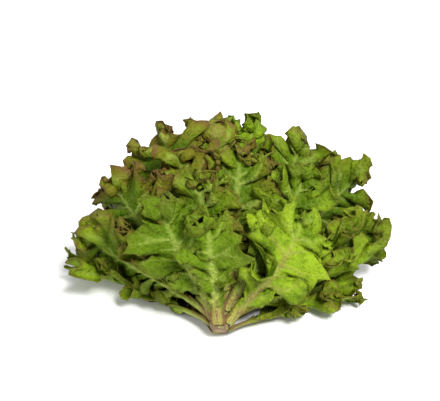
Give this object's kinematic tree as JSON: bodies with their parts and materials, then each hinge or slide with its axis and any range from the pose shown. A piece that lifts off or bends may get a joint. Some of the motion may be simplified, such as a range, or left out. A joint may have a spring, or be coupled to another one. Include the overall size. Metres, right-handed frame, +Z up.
{
  "type": "lollo rosso lettuce",
  "caption": "Head of loose-leaf lettuce with frilled leaves, cut at the stem and lying on its side, its leaves fanned out from the cut.",
  "frame": {"origin": "on the floor the head lies on, under the middle of its extent", "axes": "+Z up; +Y the way the stem points, from the cut face into the head; +X to the right, seen from the cut end"},
  "size_m": [0.2904, 0.1984, 0.1422],
  "materials": {
    "outer_leaf": "semi-matte",
    "middle_leaf": "semi-matte",
    "heart_leaf": "semi-matte",
    "stem": "semi-matte"
  },
  "bodies": {
    "root": {"stem": "stem", "outer_leaf_1": "outer_leaf", "outer_leaf_2": "outer_leaf", "outer_leaf_3": "outer_leaf", "outer_leaf_4": "outer_leaf", "outer_leaf_5": "outer_leaf", "outer_leaf_6": "outer_leaf", "outer_leaf_7": "outer_leaf", "outer_leaf_8": "outer_leaf", "outer_leaf_9": "outer_leaf", "middle_leaf_1": "middle_leaf", "middle_leaf_2": "middle_leaf", "middle_leaf_3": "middle_leaf", "middle_leaf_4": "middle_leaf", "middle_leaf_5": "middle_leaf", "middle_leaf_6": "middle_leaf", "middle_leaf_7": "middle_leaf", "middle_leaf_8": "middle_leaf", "middle_leaf_9": "middle_leaf", "middle_leaf_10": "middle_leaf", "middle_leaf_11": "middle_leaf", "middle_leaf_12": "middle_leaf", "middle_leaf_13": "middle_leaf", "middle_leaf_14": "middle_leaf", "heart_leaf_1": "heart_leaf", "heart_leaf_2": "heart_leaf", "heart_leaf_3": "heart_leaf", "heart_leaf_4": "heart_leaf", "heart_leaf_5": "heart_leaf", "heart_leaf_6": "heart_leaf", "heart_leaf_7": "heart_leaf"}
  },
  "joints": []
}
